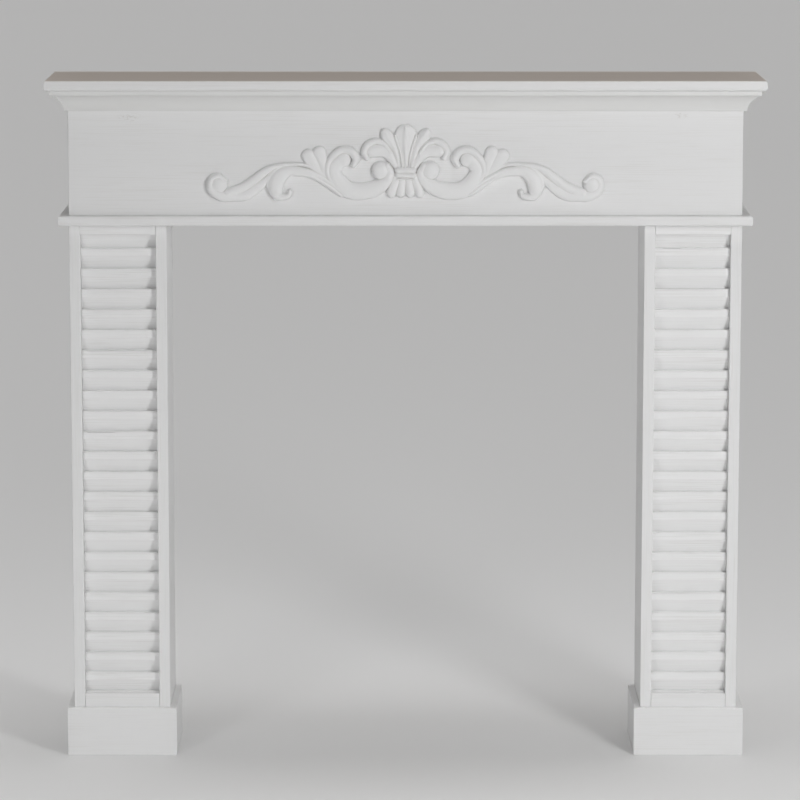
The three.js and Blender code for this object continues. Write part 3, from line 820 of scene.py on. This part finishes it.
def fan_strokes():
    """The lobes of the fan, spread evenly about the middle line."""
    strokes = []
    for lobe in range(FAN_LOBES):
        place = lobe - (FAN_LOBES - 1) / 2
        if place > 0:
            top = [place * FAN_TOP_STEP, FAN_TOP, FAN_TOP_WIDTH]
            foot = [place * FAN_FOOT_STEP, FAN_FOOT, FAN_FOOT_WIDTH]
            strokes.append((FAN_RELIEF, [top, foot]))
    return strokes


def smooth_line(points):
    """A smooth line through the points, as rows of u, v and width about one step apart."""
    points = np.array(points, float)
    before = 2 * points[0] - points[1]
    after = 2 * points[-1] - points[-2]
    padded = np.vstack([before, points, after])
    rows = []
    for a, b, c, d in zip(padded, padded[1:], padded[2:], padded[3:]):
        count = max(2, math.ceil(np.hypot(*(c - b)[:2]) / LINE_STEP))
        for t in np.arange(count) / count:
            bend = (2 * a - 5 * b + 4 * c - d) * t**2 + (3 * b - a - 3 * c + d) * t**3
            rows.append(0.5 * (2 * b + (c - a) * t + bend))
    return np.vstack([*rows, points[-1]])


def rounded_form(distance, half_width, relief):
    """Height of a rounded form at a distance from its middle, and of its wall beyond its edge."""
    share = np.clip(distance / half_width, 0, 1)
    arch = SIDE_WALL + (1 - SIDE_WALL) * np.sqrt(1 - share**2)
    beyond = np.maximum(distance - half_width, 0)
    return relief * arch - beyond * WALL_STEEPNESS


def stroke_height(u, v, stroke, full_relief):
    """Height of one stroke over every point of the carved field."""
    (first_relief, last_relief), points = stroke
    line = smooth_line(points)
    starts, ends = line[:-1], line[1:]
    along = (ends - starts)[:, :2]
    lengths = np.hypot(along[:, 0], along[:, 1])
    travelled = np.concatenate([[0], np.cumsum(lengths)])
    reliefs = full_relief * (first_relief + (last_relief - first_relief) * travelled / travelled[-1])
    height = np.full(u.shape, -math.inf)
    margin = line[:, 2].max() / 2 + WALL_REACH
    near = (u > line[:, 0].min() - margin) & (u < line[:, 0].max() + margin)
    near &= (v > line[:, 1].min() - margin) & (v < line[:, 1].max() + margin)
    spot = np.stack([u[near], v[near]], axis=1)
    best = np.full(len(spot), -math.inf)
    for i in range(len(starts)):
        offset = spot - starts[i, :2]
        share = np.clip(offset @ along[i] / lengths[i] ** 2, 0, 1)
        distance = np.hypot(*(offset - share[:, None] * along[i]).T)
        half_width = (starts[i, 2] + share * (ends[i, 2] - starts[i, 2])) / 2
        relief = reliefs[i] + share * (reliefs[i + 1] - reliefs[i])
        best = np.maximum(best, rounded_form(distance, half_width, relief))
    height[near] = best
    return height


def carved_height(u, v, full_relief, crease):
    """Height of the whole ornament over every point of the field, with the creases softened."""
    strokes = [*RIGHT_STROKES.values(), *MIDDLE_STROKES.values(), *fan_strokes()]
    heights = [stroke_height(u, v, stroke, full_relief) for stroke in strokes]
    for ball_u, ball_v, radius, relief in RIGHT_BALLS:
        distance = np.hypot(u - ball_u, v - ball_v)
        heights.append(rounded_form(distance, radius, relief * full_relief))
    joined = np.full(u.shape, -full_relief)
    for height in heights:
        # Where two forms are nearly as high, the paint fills the crease between them.
        gap = np.clip(crease - np.abs(joined - height), 0, None)
        joined = np.maximum(joined, height) + gap**2 / (4 * crease)
    return joined


def shape_ornament(low, high, sizes):
    """Carves the ornament out of a fine grid, saws it off at the frieze and closes its back."""
    width, rise = high.x - low.x, high.z - low.z
    columns = 2 * math.ceil((width / 2 + GRID_MARGIN) / sizes.carving_step)
    rows = 2 * math.ceil((rise / 2 + GRID_MARGIN) / sizes.carving_step)
    half_across = columns * sizes.carving_step / 2
    half_up = rows * sizes.carving_step / 2
    bm = bmesh.new()
    bmesh.ops.create_grid(bm, x_segments=columns, y_segments=rows, size=1)
    bmesh.ops.scale(bm, vec=(half_across, half_up, 1), verts=bm.verts)
    places = np.array([vert.co for vert in bm.verts]) / MM
    middle = (low.z + high.z) / 2
    # The drawing's middle lies halfway up the open field between the ledge and the crown.
    field_middle = (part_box("ledge_board")[1].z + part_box("crown_front")[0].z) / 2
    u = np.abs(places[:, 0])
    v = places[:, 1] + (middle - field_middle) / MM
    full_relief = (high.y - low.y) / MM / FULLEST_RELIEF
    heights = carved_height(u, v, full_relief, sizes.crease / MM)
    for vert, height in zip(bm.verts, heights, strict=True):
        vert.co = Vector((vert.co.x, high.y - height * MM, middle + vert.co.y))
    everything = bm.verts[:] + bm.edges[:] + bm.faces[:]
    bmesh.ops.bisect_plane(
        bm, geom=everything, plane_co=(0, high.y, 0), plane_no=(0, 1, 0), clear_outer=True
    )
    rim = [edge for edge in bm.edges if edge.is_boundary]
    bmesh.ops.triangle_fill(bm, edges=rim, use_beauty=True, normal=(0, 1, 0))
    return bm


class MANTEL_OT_ornament(bpy.types.Operator):
    """Make the applied scroll ornament"""

    bl_idname = "mantel.ornament"
    bl_label = "Ornament"

    def execute(self, context):
        low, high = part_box("frieze_ornament")
        bm = shape_ornament(low, high, context.scene.mantel_ornament)
        show("scroll_ornament", bm, ornament_paint(), ["frieze_ornament"], False)
        return {"FINISHED"}


# Studio

FLOOR_SINK = 0.2 * MM  # the floor lies this far below the feet, so that no two faces share a place
FLOOR_SIDES = 96
FLOOR_ROUGHNESS = 0.9
SENSOR_WIDTH = 36  # millimetres
FARTHEST_SEEN = 500


def plain_material(name, values, roughness):
    """An even matt surface."""
    material, _, shader = new_material(name)
    shader.inputs["Base Color"].default_value = opaque(values)
    shader.inputs["Roughness"].default_value = roughness
    return material


def net_material(values):
    """Fine net that dims and warms the light passing through it."""
    material = bpy.data.materials.new("Fine net")
    material.use_nodes = True
    tree = material.node_tree
    clear = add_node(tree, "ShaderNodeBsdfTransparent", {"Color": opaque(values)})
    tree.links.new(clear.outputs["BSDF"], tree.nodes["Material Output"].inputs["Surface"])
    return material


def light_surroundings(studio):
    """Soft light from all round, dimmer and warmer from above and most so in front."""
    world = bpy.data.worlds.new("Studio")
    bpy.context.scene.world = world
    world.use_nodes = True
    tree = world.node_tree
    direction = add_node(tree, "ShaderNodeTexCoord", {}).outputs["Generated"]
    parts = add_node(tree, "ShaderNodeSeparateXYZ", {"Vector": direction})
    # The rear turns into the front over the mantelpiece, and the horizon's light ends low down.
    forward = ramp(tree, parts.outputs["Y"], 0.3, -0.4)
    above = mix_colours(tree, forward, opaque(studio.above_rear), opaque(studio.above_front))
    height = ramp(tree, parts.outputs["Z"], 0.08, 0.2)
    shade = mix_colours(tree, height, opaque(studio.horizon), above)
    tree.links.new(shade, tree.nodes["Background"].inputs["Color"])


def softbox(name, place, target, size, power):
    """A lamp with a face of a given width and height, which faces the target unseen by the camera."""
    light = bpy.data.lights.new(name, "AREA")
    light.shape = "RECTANGLE"
    light.size, light.size_y = size
    light.energy = power
    lamp = bpy.data.objects.new(name, light)
    bpy.context.scene.collection.objects.link(lamp)
    lamp.location = place
    lamp.rotation_euler = (target - place).to_track_quat("-Z", "Y").to_euler()
    lamp.visible_camera = False
    return lamp


def staged(name, bm, material):
    """A thing of the studio, which isn't part of the mantelpiece."""
    mesh = bpy.data.meshes.new(name)
    bm.to_mesh(mesh)
    bm.free()
    mesh.materials.append(material)
    made = bpy.data.objects.new(name, mesh)
    bpy.context.scene.collection.objects.link(made)
    return made


def lay_floor(studio):
    """Lays the pale floor."""
    bm = bmesh.new()
    bmesh.ops.create_circle(bm, cap_ends=True, radius=studio.floor_radius, segments=FLOOR_SIDES)
    bmesh.ops.translate(bm, vec=-UP * FLOOR_SINK, verts=bm.verts)
    staged("studio_floor", bm, plain_material("Pale matt studio floor", studio.floor, FLOOR_ROUGHNESS))


def stand_softboxes(studio):
    """Stands a tall softbox on each side, so that each leg is lit mostly by its own, and under it
    a low lamp with a honeycomb for the foot of the legs."""
    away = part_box("frieze_front")[0].y - studio.softbox_forward
    size = (studio.softbox_width, studio.softbox_rise)
    low_size = (studio.softbox_width, studio.low_lamp_rise)
    low_height = studio.low_lamp_height
    sides = {
        "right": (studio.softbox_aside, studio.right_height, studio.right_power),
        "left": (-studio.softbox_aside, studio.left_height, studio.left_power),
    }
    for side, (aside, height, power) in sides.items():
        place = Vector((aside, away, height))
        softbox(f"{side}_softbox", place, Vector((0, 0, height)), size, power)
        low_place = Vector((aside, away, low_height))
        low_target = Vector((0, 0, low_height))
        low_lamp = softbox(f"{side}_low_lamp", low_place, low_target, low_size, studio.low_lamp_power)
        low_lamp.data.spread = studio.low_lamp_spread


def hang_overhead_lamp(studio):
    """Hangs a large lamp with a honeycomb over the floor behind the mantelpiece."""
    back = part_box("mantel_shelf")[1].y + studio.overhead_back
    place = Vector((0, back, studio.overhead_height))
    size = (studio.overhead_width, studio.overhead_depth)
    lamp = softbox("overhead_lamp", place, Vector((0, back, 0)), size, studio.overhead_power)
    lamp.data.spread = studio.overhead_spread


def hang_net(studio):
    """Hangs a net over the shelf, out of the camera's sight, that dims the light on its top."""
    low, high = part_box("mantel_shelf")
    size = high - low + 2 * studio.net_margin * (RIGHT - FORWARD)
    bm = bmesh.new()
    bmesh.ops.create_grid(bm, x_segments=1, y_segments=1, size=0.5)
    bmesh.ops.scale(bm, vec=size, verts=bm.verts)
    bmesh.ops.translate(bm, vec=UP * (high.z + studio.net_rise), verts=bm.verts)
    net = staged("overhead_net", bm, net_material(studio.net))
    net.visible_camera = False


def place_camera(studio):
    """Places the camera at the photograph's viewing angle."""
    data = bpy.data.cameras.new("camera")
    data.lens = studio.camera_lens
    data.sensor_width = SENSOR_WIDTH
    data.shift_x = studio.camera_shift_x
    data.shift_y = studio.camera_shift_y
    data.clip_end = FARTHEST_SEEN
    camera = bpy.data.objects.new("camera", data)
    bpy.context.scene.collection.objects.link(camera)
    shelf_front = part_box("mantel_shelf")[0].y
    camera.location = (-studio.camera_aside, shelf_front - studio.camera_distance, studio.camera_height)
    camera.rotation_euler = (math.pi / 2 - studio.camera_pitch, 0, 0)
    bpy.context.scene.camera = camera


class MANTEL_OT_studio(bpy.types.Operator):
    """Make the floor, the light and the camera"""

    bl_idname = "mantel.studio"
    bl_label = "Studio"

    def execute(self, context):
        studio = context.scene.mantel_studio
        context.scene.view_settings.view_transform = "Standard"
        lay_floor(studio)
        light_surroundings(studio)
        stand_softboxes(studio)
        hang_overhead_lamp(studio)
        hang_net(studio)
        place_camera(studio)
        return {"FINISHED"}


# Add-on


MAKERS = (
    MANTEL_OT_shelf,
    MANTEL_OT_crown,
    MANTEL_OT_frieze,
    MANTEL_OT_ornament,
    MANTEL_OT_ledge,
    MANTEL_OT_leg_frames,
    MANTEL_OT_slats,
    MANTEL_OT_plinths,
    MANTEL_OT_studio,
)


class MANTEL_PT_sidebar(bpy.types.Panel):
    """Lists what makes the mantelpiece"""

    bl_label = "Mantelpiece"
    bl_idname = "MANTEL_PT_sidebar"
    bl_space_type = "VIEW_3D"
    bl_region_type = "UI"
    bl_category = "Mantelpiece"

    def draw(self, context):
        for maker in MAKERS:
            self.layout.operator(maker.bl_idname)


SETTINGS = {
    "mantel_boards": BoardSizes,
    "mantel_slats": SlatSizes,
    "mantel_ornament": OrnamentSizes,
    "mantel_paint": PaintColours,
    "mantel_studio": StudioSizes,
}


def register():
    """Registers the settings, the operators and the panel."""
    for name, group in SETTINGS.items():
        bpy.utils.register_class(group)
        setattr(bpy.types.Scene, name, PointerProperty(type=group))
    for shown in (*MAKERS, MANTEL_PT_sidebar):
        bpy.utils.register_class(shown)


def unregister():
    """Takes them away again."""
    for shown in (MANTEL_PT_sidebar, *reversed(MAKERS)):
        bpy.utils.unregister_class(shown)
    for name, group in SETTINGS.items():
        delattr(bpy.types.Scene, name)
        bpy.utils.unregister_class(group)


def main():
    """Makes the mantelpiece and its studio."""
    register()
    bpy.ops.mantel.shelf()
    bpy.ops.mantel.crown()
    bpy.ops.mantel.frieze()
    bpy.ops.mantel.ornament()
    bpy.ops.mantel.ledge()
    bpy.ops.mantel.leg_frames()
    bpy.ops.mantel.slats()
    bpy.ops.mantel.plinths()
    bpy.ops.mantel.studio()


if __name__ == "__main__":
    main()
